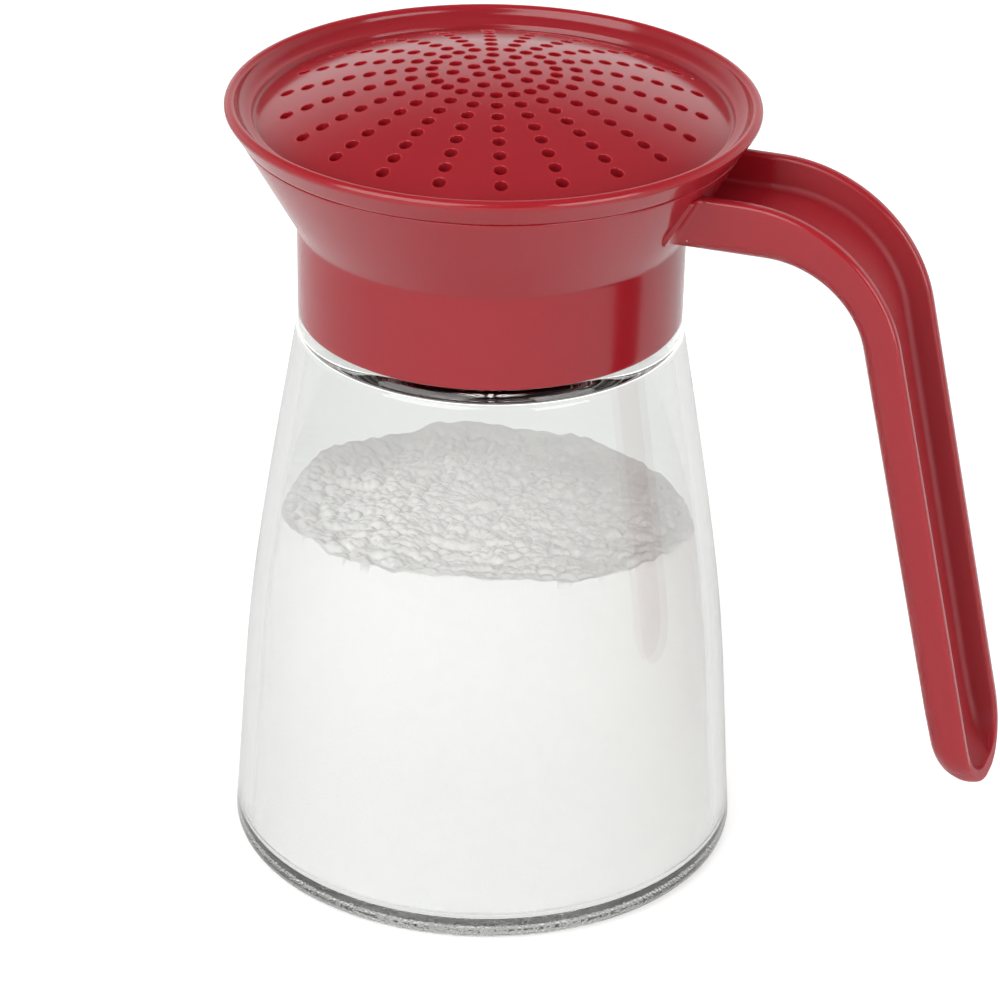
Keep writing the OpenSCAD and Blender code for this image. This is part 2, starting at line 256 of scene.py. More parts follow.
def ring_quads(rows, columns, close=False, first=0):
    """Quads between rows of points that each go all the way round."""
    faces = []
    for i in range(rows if close else rows - 1):
        low = first + i * columns
        high = first + (i + 1) % rows * columns
        for j in range(columns):
            after = (j + 1) % columns
            faces.append((low + j, low + after, high + after, high + j))
    return faces


def turned(profile, steps, swell=None, close=False):
    """Points and faces of a profile turned about the jar's axis. swell(r, z, turn) adds to the radius."""
    points = []
    for r, z in profile:
        for j in range(steps):
            turn = j / steps
            wide = r + (swell(r, z, turn) if swell else 0)
            points.append((wide * cos(2 * pi * turn), wide * sin(2 * pi * turn), z))
    return points, ring_quads(len(profile), steps, close)


def thread_ridge(z, turn, first_z, start, end):
    """How far a screw thread stands proud at a height and a turn, where it runs from turn start to end."""
    best = 0.0
    for whole in range(-1, 3):
        way = turn + whole
        off = abs(z - first_z - THREAD_PITCH * way) / (THREAD_W / 2)
        if off < 1 and start < way < end:
            fade = min(1.0, (way - start) / THREAD_FADE, (end - way) / THREAD_FADE)
            best = max(best, THREAD_H * fade * min(1.0, THREAD_FLANK * cos(off * pi / 2) ** 2))
    return best


# ---------------------------------------------------------------- materials

def add_node(tree, kind, settings=None, links=None):
    """One node with its attributes and input values from settings, and links from input names to outputs."""
    node = tree.nodes.new(kind)
    for key, value in (settings or {}).items():
        if isinstance(key, str) and hasattr(node, key):
            setattr(node, key, value)
        else:
            node.inputs[key].default_value = value
    for key, output in (links or {}).items():
        tree.links.new(node.inputs[key], output)
    return node


def material(name):
    """An empty material with its node tree and output."""
    made = bpy.data.materials.new(name)
    made.use_nodes = True
    made.node_tree.nodes.clear()
    output = add_node(made.node_tree, "ShaderNodeOutputMaterial")
    return made, made.node_tree, output


def moulded_red_plastic():
    """Injection-moulded polypropylene: deep red with a clear gloss, faint flow waves and a little dust."""
    made, tree, output = material("moulded_red_polypropylene")
    place = add_node(tree, "ShaderNodeTexCoord").outputs["Object"]
    # flow waves 12.5 mm long, where the skin differs a little in gloss
    waves = add_node(tree, "ShaderNodeTexNoise", {"Scale": 80.0, "Detail": 2.0}, {"Vector": place})
    gloss = add_node(
        tree,
        "ShaderNodeMapRange",
        {"From Min": 0.3, "From Max": 0.7, "To Min": 0.13, "To Max": 0.2},
        {"Value": waves.outputs["Fac"]},
    )
    # the mould's core isn't polished, so the channel's inside is matt, and so is the middle of the back
    spot = add_node(tree, "ShaderNodeSeparateXYZ", links={0: place})
    across = add_node(tree, "ShaderNodeMath", {"operation": "ABSOLUTE"}, {0: spot.outputs["Y"]})
    inside = add_node(
        tree,
        "ShaderNodeMapRange",
        {"From Min": 0.0094, "From Max": 0.0091, "To Min": 0.0, "To Max": 0.35},
        {"Value": across.outputs[0]},
    )
    outward = add_node(
        tree,
        "ShaderNodeMapRange",
        {"From Min": 0.042, "From Max": 0.044, "To Min": 0.0, "To Max": 1.0},
        {"Value": spot.outputs["X"]},
    )
    roughness = add_node(
        tree,
        "ShaderNodeMath",
        {"operation": "MULTIPLY_ADD"},
        {0: inside.outputs["Result"], 1: outward.outputs["Result"], 2: gloss.outputs["Result"]},
    )
    # sugar dust: a few specks, up to 0.5 mm across
    dust = add_node(tree, "ShaderNodeTexVoronoi", {"Scale": 110.0}, {"Vector": place})
    speck = add_node(
        tree,
        "ShaderNodeMapRange",
        {"From Min": 0.03, "From Max": 0.018, "To Min": 0.0, "To Max": 1.0},
        {"Value": dust.outputs["Distance"]},
    )
    colour = add_node(
        tree,
        "ShaderNodeMix",
        {"data_type": "RGBA", 6: linear("#921822"), 7: linear("#E8D5D2")},
        {0: speck.outputs["Result"]},
    )
    # the waves are at most 0.01 mm deep
    bump = add_node(
        tree,
        "ShaderNodeBump",
        {"Strength": 0.3, "Distance": 0.00001},
        {"Height": waves.outputs["Fac"]},
    )
    # red light goes up to 3 mm into the plastic, so thin edges glow a little
    shader = add_node(
        tree,
        "ShaderNodeBsdfPrincipled",
        {
            "IOR": 1.5,
            "Subsurface Weight": 0.6,
            "Subsurface Radius": (1.0, 0.15, 0.15),
            "Subsurface Scale": 0.003,
        },
        {
            "Base Color": colour.outputs[2],
            "Roughness": roughness.outputs[0],
            "Normal": bump.outputs["Normal"],
        },
    )
    tree.links.new(output.inputs["Surface"], shader.outputs["BSDF"])
    return made


def soda_lime_glass():
    """Pressed soda-lime glass: clear, grey-green where it is thick, with soft mould waves."""
    made, tree, output = material("soda_lime_glass")
    place = add_node(tree, "ShaderNodeTexCoord").outputs["Object"]
    # mould waves about 8 mm long and at most 0.02 mm deep
    waves = add_node(tree, "ShaderNodeTexNoise", {"Scale": 120.0, "Detail": 1.0}, {"Vector": place})
    bump = add_node(
        tree,
        "ShaderNodeBump",
        {"Strength": 0.25, "Distance": 0.00002},
        {"Height": waves.outputs["Fac"]},
    )
    # stippling 0.5 mm apart under the jar, which fades out between 0.6 and 0.9 mm up
    dots = add_node(tree, "ShaderNodeTexVoronoi", {"Scale": 2000.0}, {"Vector": place})
    height = add_node(tree, "ShaderNodeSeparateXYZ", links={0: place}).outputs["Z"]
    under = add_node(
        tree,
        "ShaderNodeMapRange",
        {"From Min": 0.0009, "From Max": 0.0006, "To Min": 0.0, "To Max": 1.0},
        {"Value": height},
    )
    stipple = add_node(
        tree,
        "ShaderNodeBump",
        {"Distance": 0.0001},
        {
            "Strength": under.outputs["Result"],
            "Height": dots.outputs["Distance"],
            "Normal": bump.outputs["Normal"],
        },
    )
    shader = add_node(
        tree,
        "ShaderNodeBsdfPrincipled",
        {"Base Color": linear("#FDFEFD"), "Roughness": 0.0, "IOR": 1.52, "Transmission Weight": 1.0},
        {"Normal": stipple.outputs["Normal"]},
    )
    # the tint of 2.6 mm of glass hardly shows, and that of the foot, seen edge on, does
    tint = add_node(tree, "ShaderNodeVolumeAbsorption", {"Color": linear("#BDBFB4"), "Density": 18.0})
    tree.links.new(output.inputs["Surface"], shader.outputs["BSDF"])
    tree.links.new(output.inputs["Volume"], tint.outputs["Volume"])
    return made


def powdered_sugar():
    """Milled sugar, packed by shaking: matt white, in soft clumps with fine grains."""
    made, tree, output = material("powdered_sugar")
    place = add_node(tree, "ShaderNodeTexCoord").outputs["Object"]
    # clumps about 2 mm across, and grains drawn at 0.4 mm because real ones are too fine to show
    clumps = add_node(tree, "ShaderNodeTexNoise", {"Scale": 500.0, "Detail": 3.0}, {"Vector": place})
    grains = add_node(tree, "ShaderNodeTexNoise", {"Scale": 2500.0, "Detail": 2.0}, {"Vector": place})
    shade = add_node(
        tree,
        "ShaderNodeMix",
        {"data_type": "RGBA", 6: linear("#FAF9F9"), 7: linear("#FEFDFC")},
        {0: clumps.outputs["Fac"]},
    )
    bump = add_node(
        tree,
        "ShaderNodeBump",
        {"Strength": 0.6, "Distance": 0.0001},
        {"Height": grains.outputs["Fac"]},
    )
    shader = add_node(
        tree,
        "ShaderNodeBsdfPrincipled",
        {"Roughness": 0.95, "Specular IOR Level": 0.2, "IOR": 1.5},
        {"Base Color": shade.outputs[2], "Normal": bump.outputs["Normal"]},
    )
    tree.links.new(output.inputs["Surface"], shader.outputs["BSDF"])
    return made


def foamed_polyethylene():
    """Closed-cell polyethylene foam, die-cut: matt and slightly dimpled."""
    made, tree, output = material("foamed_polyethylene")
    place = add_node(tree, "ShaderNodeTexCoord").outputs["Object"]
    # cells 0.5 mm across
    cells = add_node(tree, "ShaderNodeTexVoronoi", {"Scale": 2000.0}, {"Vector": place})
    shade = add_node(
        tree,
        "ShaderNodeMix",
        {"data_type": "RGBA", 6: linear("#D2CDC2"), 7: linear("#E6E2D9")},
        {0: cells.outputs["Distance"]},
    )
    bump = add_node(
        tree,
        "ShaderNodeBump",
        {"Strength": 0.5, "Distance": 0.0001},
        {"Height": cells.outputs["Distance"]},
    )
    shader = add_node(
        tree,
        "ShaderNodeBsdfPrincipled",
        {"Roughness": 0.8, "IOR": 1.5},
        {"Base Color": shade.outputs[2], "Normal": bump.outputs["Normal"]},
    )
    tree.links.new(output.inputs["Surface"], shader.outputs["BSDF"])
    return made


# ---------------------------------------------------------------- the jar

def shoulder_points(start, level, neck_r, round_r, fillet_r):
    """The wall's rounded upper edge at a level, and the corner from which the neck rises."""
    lean = atan(SHOULDER_SLOPE)
    top_r = start[0] - SHOULDER_SLOPE * (level - start[1])
    mid_r = top_r - round_r * (1 / cos(lean) - SHOULDER_SLOPE)
    edge = arc((mid_r, level - round_r), round_r, degrees(lean), 90, 12)
    corner = arc((neck_r + fillet_r, level + fillet_r), fillet_r, 270, 180, 10)
    return line(start, edge[0], 8) + edge[1:] + corner


def wall_points(inset, neck_r, level, round_r, fillet_r):
    """The jar's wall from the heel up to the neck, at a distance inwards from the outside."""
    low = (BASE_R - inset, HEEL_R)
    high = (SHOULDER_R - inset, SHOULDER_Z)
    low_reach = (SHOULDER_Z - HEEL_R) * WALL_REACH
    high_reach = (SHOULDER_Z - HEEL_R) * SHOULDER_REACH
    wall = curve(
        low,
        (low[0] - WALL_SLOPE * low_reach, low[1] + low_reach),
        (high[0] + SHOULDER_SLOPE * high_reach, high[1] - high_reach),
        high,
        48,
    )
    return [low] + wall + shoulder_points(high, level, neck_r, round_r, fillet_r)


def outer_wall():
    return wall_points(0, NECK_R, NECK_Z, SHOULDER_ROUND, NECK_FILLET)


def inner_wall():
    """The wall's inside, with a tighter edge and a wider corner than the outside."""
    return wall_points(GLASS_T, MOUTH_R, NECK_Z - GLASS_T, 0.8 * SHOULDER_ROUND, 2 * NECK_FILLET)


def jar_inner_r(z):
    """The jar's inner radius at height z."""
    wall = inner_wall()
    for (r0, z0), (r1, z1) in zip(wall, wall[1:]):
        if z0 <= z <= z1:
            return r0 + (r1 - r0) * (z - z0) / (z1 - z0)
    return wall[0][0]


def bead(z):
    """How far the ring under the thread stands proud at height z."""
    off = abs(z - BEAD_Z) / BEAD_REACH
    return BEAD_H * cos(off * pi / 2) ** 1.5 if off < 1 else 0.0


def jar_profile():
    """The jar's outline, from the middle of its underside out, up over the rim, and back inside."""
    foot_r = BASE_R - HEEL_R
    foot_in = foot_r - FOOT_W
    inner_r = BASE_R - GLASS_T
    middle = (AXIS_R, PUSH_UP)
    hollow_edge = (foot_in - 2 * PUSH_UP, PUSH_UP)
    under = (
        [middle]
        + line(middle, hollow_edge, 12)
        + curve(
            hollow_edge,
            (foot_in - PUSH_UP, PUSH_UP),
            (foot_in - PUSH_UP, 0),
            (foot_in + FOOT_ROUND, 0),
            8,
        )
    )
    outside = under + arc((foot_r, HEEL_R), HEEL_R, -90, -6, 12) + outer_wall()
    rim_z = JAR_H - MOUTH_ROUND
    neck = [(NECK_R + bead(z), z) for _, z in line((0, NECK_Z + NECK_FILLET), (0, rim_z), 40)]
    rim = (
        arc((NECK_R - MOUTH_ROUND, rim_z), MOUTH_ROUND, 6, 90, 8)
        + arc((MOUTH_R + MOUTH_ROUND, rim_z), MOUTH_ROUND, 90, 180, 8)
    )
    bottom_z = PUSH_UP + BOTTOM_T
    wall = inner_wall()[1:]
    heel = arc((inner_r - INNER_HEEL_R, bottom_z + INNER_HEEL_R), INNER_HEEL_R, 0, -90, 12)
    inside = wall[::-1] + heel
    floor_line = line(inside[-1], (AXIS_R, bottom_z), 12)
    return outside + neck + rim + inside + floor_line


def jar_thread(r, z, turn):
    """The neck's screw thread, on the outside only."""
    if r < NECK_R - NEAR or z < NECK_Z:
        return 0.0
    return min(thread_ridge(z, turn, NECK_THREAD_Z, *NECK_THREAD_TURNS), NECK_R + THREAD_H - r)


def make_jar(glass):
    points, faces = turned(jar_profile(), ROUND_STEPS, jar_thread)
    last = len(points) - ROUND_STEPS
    faces.append(tuple(range(ROUND_STEPS - 1, -1, -1)))
    faces.append(tuple(range(last, last + ROUND_STEPS)))
    jar = piece("glass_jar_body", points, faces, glass)
    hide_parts("jar")
    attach(jar, "glass_jar")


# ---------------------------------------------------------------- the sugar

def crumbs(at, size):
    """From 0 to 1, the height of round crumbs with gaps between them, each about size across."""
    reach = 0.66
    off = noise.voronoi(at / size)[0][0] / reach
    return sqrt(1 - off * off) if off < 1 else 0.0


def sugar_top(x, y, edge_r):
    """The height of the sugar's surface: drifts, a hollow beside the far wall, and crumbs of two sizes."""
    # the noise is read at a height of its own, so that the level doesn't change the crumbs
    at = Vector((x, y, 7.0))
    r = sqrt(x * x + y * y)
    drift = DRIFT_H * noise.noise(at / DRIFT_L)
    far = max(0.0, (x * cos(HEADING) + y * sin(HEADING)) / edge_r)
    hollow = HOLLOW_H * far * sin(pi * min(1.0, (edge_r - r) / HOLLOW_W))
    # along the glass the crumbs are pressed flat, and the edge waves instead
    free = min(1.0, (edge_r - r) / EDGE_W)
    elsewhere = at + Vector((31, 0, 0))
    grain = CRUMB_H * crumbs(at, CRUMB_W) + FINE_CRUMB_H * crumbs(elsewhere, FINE_CRUMB_W) - CRUMBS_MEAN
    edge = EDGE_H * noise.noise(at / EDGE_W) * (1 - free)
    return SUGAR_LEVEL - SUGAR_SLOPE * y + drift - hollow + edge + grain * (PRESSED + (1 - PRESSED) * free)


def make_sugar(sugar):
    steps = SUGAR_STEPS
    low_z = PUSH_UP + BOTTOM_T + SUGAR_GAP
    corner = INNER_HEEL_R - SUGAR_GAP
    low_r = BASE_R - GLASS_T - SUGAR_GAP
    turns = [2 * pi * j / steps for j in range(steps)]
    points = []
    rows = 0
    # the bottom and its rounded corner
    for r, z in [(2 * AXIS_R, low_z)] + arc((low_r - corner, low_z + corner), corner, -90, 0, 8):
        points += [(r * cos(turn), r * sin(turn), z) for turn in turns]
        rows += 1
    # the side, which follows the glass up to the surface
    side_bottom = low_z + corner
    edge = jar_inner_r(SUGAR_LEVEL) - SUGAR_GAP
    for i in range(1, SUGAR_WALL_RINGS + 1):
        for turn in turns:
            top = sugar_top(edge * cos(turn), edge * sin(turn), edge)
            z = side_bottom + (top - side_bottom) * i / SUGAR_WALL_RINGS
            r = jar_inner_r(z) - SUGAR_GAP
            points.append((r * cos(turn), r * sin(turn), z))
        rows += 1
    # the surface, from the glass in to the middle
    for i in range(1, SUGAR_TOP_RINGS):
        r = edge * (1 - i / SUGAR_TOP_RINGS)
        for turn in turns:
            x, y = r * cos(turn), r * sin(turn)
            points.append((x, y, sugar_top(x, y, edge)))
        rows += 1
    faces = ring_quads(rows, steps)
    faces.append(tuple(range(steps - 1, -1, -1)))
    faces.append(tuple(range((rows - 1) * steps, rows * steps)))
    heap = piece("powdered_sugar_fill", points, faces, sugar, sharp=80)
    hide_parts("sugar_fill")
    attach(heap, "glass_jar")


# ---------------------------------------------------------------- the seal

def make_seal(foam):
    out_mid = BORE_R - SEAL_GAP - SEAL_ROUND
    in_mid = SHELF_R + SEAL_ROUND
    low_mid = JAR_H + SEAL_ROUND
    high_mid = JAR_H + SEAL_T - SEAL_ROUND
    profile = (
        arc((out_mid, low_mid), SEAL_ROUND, -90, 0, 4)
        + arc((out_mid, high_mid), SEAL_ROUND, 0, 90, 4)
        + arc((in_mid, high_mid), SEAL_ROUND, 90, 180, 4)
        + arc((in_mid, low_mid), SEAL_ROUND, 180, 270, 4)
    )
    points, faces = turned(profile, SEAL_STEPS, close=True)
    ring = piece("foam_seal_ring", points, faces, foam)
    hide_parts("seal_ring")
    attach(ring, "seal")


# ---------------------------------------------------------------- the handled collar

def collar_profile():
    """The collar's wall as a closed outline: outside from the lip up, then inside from the seam down."""
    skirt_low = (SKIRT_R, SKIRT_Z + SKIRT_LIP)
    skirt_high = (SKIRT_TOP_R, SKIRT_TOP_Z - FLARE_EASE)
    flare_low = (flare_outer(SKIRT_TOP_Z + FLARE_EASE), SKIRT_TOP_Z + FLARE_EASE)
    flare_high = (flare_outer(SEAM_Z - SEAM_GROOVE), SEAM_Z - SEAM_GROOVE)
    outside = (
        arc((SKIRT_R - SKIRT_LIP, SKIRT_Z + SKIRT_LIP), SKIRT_LIP, -90, 0, 6)
        + line(skirt_low, skirt_high, 14)
        + curve(
            skirt_high,
            (SKIRT_TOP_R, SKIRT_TOP_Z - 0.1),
            (SKIRT_TOP_R + 0.05, SKIRT_TOP_Z + 0.1),
            flare_low,
            4,
        )
        + line(flare_low, flare_high, 24)
        + curve(
            flare_high,
            (FLARE_R - 0.05, SEAM_Z - 0.1),
            (FLARE_R - 0.1, SEAM_Z),
            (FLARE_R - SEAM_GROOVE, SEAM_Z),
            5,
        )
    )
    groove_r = flare_inner(SNAP_Z) - PLUG_GAP
    groove_top = (flare_inner(SNAP_Z + SNAP_REACH), SNAP_Z + SNAP_REACH)
    groove_foot = (flare_inner(SNAP_Z - SNAP_REACH), SNAP_Z - SNAP_REACH)
    funnel = (flare_inner(FUNNEL_Z), FUNNEL_Z)
    inside = (
        [(flare_inner(SEAM_Z) + 0.1, SEAM_Z), (flare_inner(SEAM_Z - 0.2), SEAM_Z - 0.2), groove_top]
        + arc((groove_r, SNAP_Z), SNAP_R + PLUG_GAP, 52, -38, 6)
        + [groove_foot]
        + line(groove_foot, funnel, 10)
        + curve(
            funnel,
            (funnel[0] - 0.5, FUNNEL_Z - 0.7),
            (SHELF_R + 0.6, SHELF_Z + SHELF_T),
            (SHELF_R + 0.2, SHELF_Z + SHELF_T - 0.15),
            5,
        )
        + [(SHELF_R, SHELF_Z + SHELF_T - 0.35), (SHELF_R, SHELF_Z + 0.1), (SHELF_R + 0.1, SHELF_Z)]
        + line((SHELF_R + 0.1, SHELF_Z), (BORE_R - 0.3, SHELF_Z), 2)
        + [(BORE_R, SHELF_Z - 0.3)]
        + line((BORE_R, SHELF_Z - 0.3), (BORE_R, SKIRT_Z + 1), 42)
        + [(BORE_R + 0.4, SKIRT_Z + 0.3), (BORE_R + 0.5, SKIRT_Z)]
    )
    return outside + inside


def collar_thread(r, z, turn):
    """The thread inside the skirt, which runs between the turns of the neck's thread."""
    if abs(r - BORE_R) > NEAR:
        return 0.0
    return -thread_ridge(z, turn, SKIRT_THREAD_Z, *SKIRT_THREAD_TURNS)


def rounded_in(r, left):
    """How far a corner of radius r has come in where left is what remains before its end."""
    return 0.0 if left >= r else r - sqrt(max(r * r - (r - left) ** 2, 0.0))


def handle_outline(w, d, cw, cd):
    """The handle's U-section as (across, down) points.

    w is its half width and d its depth, and cw and cd are those of its channel.
    """
    edge = min(EDGE_R, d / 3, w / 3)
    back = min(BACK_R, 0.9 * w, 0.85 * (d - edge))
    outside = (
        arc((w - edge, edge), edge, -90, 0, 6)
        + arc((w - back, d - back), back, 0, 90, 10)
        + arc((back - w, d - back), back, 90, 180, 10)
        + arc((edge - w, edge), edge, 180, 270, 6)
    )
    if cd <= 0:
        flat = w - edge
        return outside + [(-flat + 2 * flat * (i + 1) / 33, 0.0) for i in range(32)]
    lip = min(EDGE_R, cd / 2, (w - edge - cw) * 0.9)
    draft = min(CHANNEL_DRAFT, 0.1 * cw)
    corner = min(CHANNEL_R, 0.7 * cw, 0.9 * (cd - lip))
    return (
        outside
        + arc((-cw - lip, lip), lip, -90, 0, 5)
        + arc((corner + draft - cw, cd - corner), corner, 180, 90, 9)
        + arc((cw - draft - corner, cd - corner), corner, 90, 0, 9)
        + arc((cw + lip, lip), lip, 180, 270, 5)
    )


def handle_loop(edge, back, w, cw, cd):
    """A section of the handle in space, between its open edge and its back in the plane of the handle."""
    deep = Vector(back) - Vector(edge)
    d = deep.length
    down = deep / d
    return [(edge[0] + down.x * v, -u, edge[1] + down.y * v) for u, v in handle_outline(w, d, cw, cd)]


def bend_edge(turn):
    """The handle's open edge at a turn of the bend, in degrees from the collar."""
    a = radians(turn)
    return BEND_X + BEND_R * sin(a), HANDLE_Z + BEND_R * (cos(a) - 1)


def bend_back(turn):
    """The handle's back at a turn of the bend, on an arc that ends at the grip's depth."""
    lean = radians(GRIP_LEAN)
    end = bend_edge(BEND_TURN)
    end = (end[0] - GRIP_DEPTH * cos(lean), end[1] - GRIP_DEPTH * sin(lean))
    full = radians(BEND_TURN)
    r = (BACK_Z - end[1]) / (1 - cos(full))
    return end[0] - r * sin(full) + r * sin(radians(turn)), BACK_Z + r * (cos(radians(turn)) - 1)


def root_loops():
    """The sections where the handle leaves the flare, with a rounded corner."""
    side_in = FLARE_R - sqrt(FLARE_R**2 - HANDLE_W**2 / 4)
    share = 1 - ROOT_FLOOR_T / ROOT_DEPTH
    loops = []
    for off in [-0.9 * ROOT_FILLET] + [ROOT_FILLET * (1 - cos(radians(a))) for a in range(10, 91, 10)]:
        w = HANDLE_W / 2 + rounded_in(ROOT_FILLET, max(off, 0.02))
        edge = (flare_outer(HANDLE_Z) + off - side_in, HANDLE_Z)
        back = (flare_outer(BACK_Z) + off - side_in, BACK_Z)
        d = (Vector(back) - Vector(edge)).length
        loops.append(handle_loop(edge, back, w, HANDLE_W / 2 - HANDLE_T, d * share))
    return loops


def bend_loops():
    """The sections round the bend, where the channel's floor thins from the collar to the grip."""
    loops = []
    root_share = 1 - ROOT_FLOOR_T / ROOT_DEPTH
    grip_share = 1 - GRIP_FLOOR_T / GRIP_DEPTH
    for i in range(41):
        turn = BEND_TURN * i / 40
        edge, back = bend_edge(turn), bend_back(turn)
        d = (Vector(back) - Vector(edge)).length
        share = root_share + (grip_share - root_share) * i / 40
        loops.append(handle_loop(edge, back, HANDLE_W / 2, HANDLE_W / 2 - HANDLE_T, d * share))
    return loops


def grip_loop(along):
    """A section of the grip. Near the tip its sides and back come in, and the channel ends in a pocket."""
    lean = radians(GRIP_LEAN)
    start = bend_edge(BEND_TURN)
    edge = (start[0] + sin(lean) * along, start[1] - cos(lean) * along)
    left = GRIP_L - along
    full = (HANDLE_W - HANDLE_TAPER * along / GRIP_L) / 2
    d = GRIP_DEPTH - TIP_SIDE_IN * rounded_in(TIP_SIDE_L, left) / TIP_SIDE_L
    w = full - rounded_in(TIP_R, left)
    back = (edge[0] - cos(lean) * d, edge[1] - sin(lean) * d)
    channel_left = left - HANDLE_T
    if channel_left <= 0:
        return handle_loop(edge, back, w, 0, 0)
    pocket = sqrt(max(1 - max(1 - channel_left / POCKET_L, 0) ** 2, 0))
    cw = full - HANDLE_T - rounded_in(TIP_R - HANDLE_T, channel_left)
    return handle_loop(edge, back, w, cw, max((d - GRIP_FLOOR_T) * pocket, 0.02))


def make_handled_collar(plastic):
    points, faces = turned(collar_profile(), ROUND_STEPS, collar_thread, close=True)
    collar = piece("handled_collar_moulding", points, faces, plastic)
    # the sections stand closer together where the tip is round, and the last is just short of its end
    channel_l = GRIP_L - HANDLE_T
    channel_end_r = TIP_R - HANDLE_T
    straight = channel_l - channel_end_r
    stations = [straight * i / 12 for i in range(1, 12)]
    stations += [channel_l - channel_end_r * (1 - sin(radians(a))) for a in range(0, 88, 4)]
    stations += [GRIP_L - HANDLE_T * (1 - sin(radians(a))) * 0.99 for a in range(2, 91, 8)]
    loops = root_loops() + bend_loops() + [grip_loop(u) for u in stations]
    count = len(loops[0])
    points = [p for loop in loops for p in loop]
    faces = ring_quads(len(loops), count)
    last = (len(loops) - 1) * count
    faces += [(i, i + 1, count - 2 - i, count - 1 - i) for i in range(count // 2 - 1)]
    faces.append(tuple(range(last, last + count)))
    handle = piece("handle_blank", points, faces, plastic)
    joined = collar.modifiers.new("handle", "BOOLEAN")
    joined.operation = "UNION"
    joined.solver = "EXACT"
    joined.object = handle
    bpy.context.view_layer.update()
    whole = bpy.data.meshes.new_from_object(collar.evaluated_get(bpy.context.evaluated_depsgraph_get()))
    collar.modifiers.clear()
    collar.data = whole
    bpy.data.objects.remove(handle)
    whole.shade_smooth()
    whole.set_sharp_from_angle(angle=radians(SHARP))
    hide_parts("handled_collar")
    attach(collar, "head")


# ---------------------------------------------------------------- the sieve

def dome_z(x, y, inset=0.0):
    """The height of the dome's surface, or of the one inset below it."""
    return DOME_MID_Z + sqrt((DOME_R - inset) ** 2 - x * x - y * y)


def cell_edge(first, span, r_in, r_out):
    """Points round one hole's share of a ring, from sector mark first over span marks."""
    unit = 360 / (RAYS * SECTOR)
    base = RAY_TURN - 180 / RAYS
    marks = [radians(base + unit * (first + i)) for i in range(span + 1)]
    rise = [r_in + (r_out - r_in) * i / 4 for i in (1, 2, 3)]
    inner = [(r_in * cos(a), r_in * sin(a)) for a in marks]
    outer = [(r_out * cos(a), r_out * sin(a)) for a in marks[::-1]]
    up = [(r * cos(marks[-1]), r * sin(marks[-1])) for r in rise]
    down = [(r * cos(marks[0]), r * sin(marks[0])) for r in rise[::-1]]
    return inner + up + outer + down


def hole_loops(mid, edge):
    """Loops of points from a cell's edge on the dome, through its hole, to the edge on the underside."""
    # the points of a loop are nearly even, and lean a quarter of the way towards the edge's own directions
    count = len(edge)
    ways = [atan2(y - mid[1], x - mid[0]) for x, y in edge]
    (x0, y0), (x1, y1) = edge[:2]
    left_turn = (x0 - mid[0]) * (y1 - mid[1]) > (y0 - mid[1]) * (x1 - mid[0])
    side = 1 if left_turn else -1
    steps = [side * 2 * pi * i / count for i in range(count)]
    offs = [(w - s - ways[0] + pi) % (2 * pi) - pi for w, s in zip(ways, steps)]
    mean = sum(offs) / count
    shift = ways[0] + mean
    turns = [shift + s + 0.25 * (o - mean) for s, o in zip(steps, offs)]

    def ring(r, drop, inset):
        """A loop at a radius, a drop below the dome's surface or below the one inset from it."""
        loop = []
        for a in turns:
            x, y = mid[0] + r * cos(a), mid[1] + r * sin(a)
            loop.append((x, y, dome_z(x, y, inset) - drop))
        return loop

    # the bead round the hole is part of a circle whose middle lies below the dome's surface
    sunk = LIP_R - LIP_RISE
    foot = asin(sunk / LIP_R)
    lip = HOLE_R + LIP_R * (1 + cos(foot))
    loops = [[(x, y, dome_z(x, y)) for x, y in edge]]
    outer = ring(lip + 0.1, 0, 0)
    loops.append([tuple((a + b) / 2 for a, b in zip(p, q)) for p, q in zip(loops[0], outer)])
    # with the loop inside it, this one keeps the bead's shading off the dome
    loops += [outer, ring(lip + 0.02, 0, 0)]
    for i in range(7):
        a = foot + (pi - foot) * i / 6
        loops.append(ring(HOLE_R + LIP_R * (1 + cos(a)), sunk - LIP_R * sin(a), 0))
    loops.append(ring(HOLE_R, 0.55 * DOME_T, 0))
    loops += [ring(HOLE_R, -BORE_BEVEL, DOME_T), ring(HOLE_R + BORE_BEVEL, 0, DOME_T)]
    loops.append([(x, y, dome_z(x, y, DOME_T)) for x, y in edge])
    return loops


def sieve_cells():
    """Every hole as its middle and the edge of its share of the dome."""
    marks = RAYS * SECTOR
    yield (0.0, 0.0), cell_edge(0, marks, RING_PITCH / 2, RING_PITCH)[:marks]
    for ring in range(1, RINGS + 1):
        count = {1: 6, 2: RAYS // 2}.get(ring, RAYS)
        span = marks // count
        turn = RAY_TURN + {1: INNER_TURN, 2: 360 / RAYS}.get(ring, 0)
        first = {1: -5, 2: 3}.get(ring, 0)
        r_in = (ring - 0.5) * RING_PITCH
        r_out = (ring + 0.5) * RING_PITCH
        for i in range(count):
            a = radians(turn + 360 * i / count)
            mid = (ring * RING_PITCH * cos(a), ring * RING_PITCH * sin(a))
            yield mid, cell_edge(first + span * i, span, r_in, r_out)


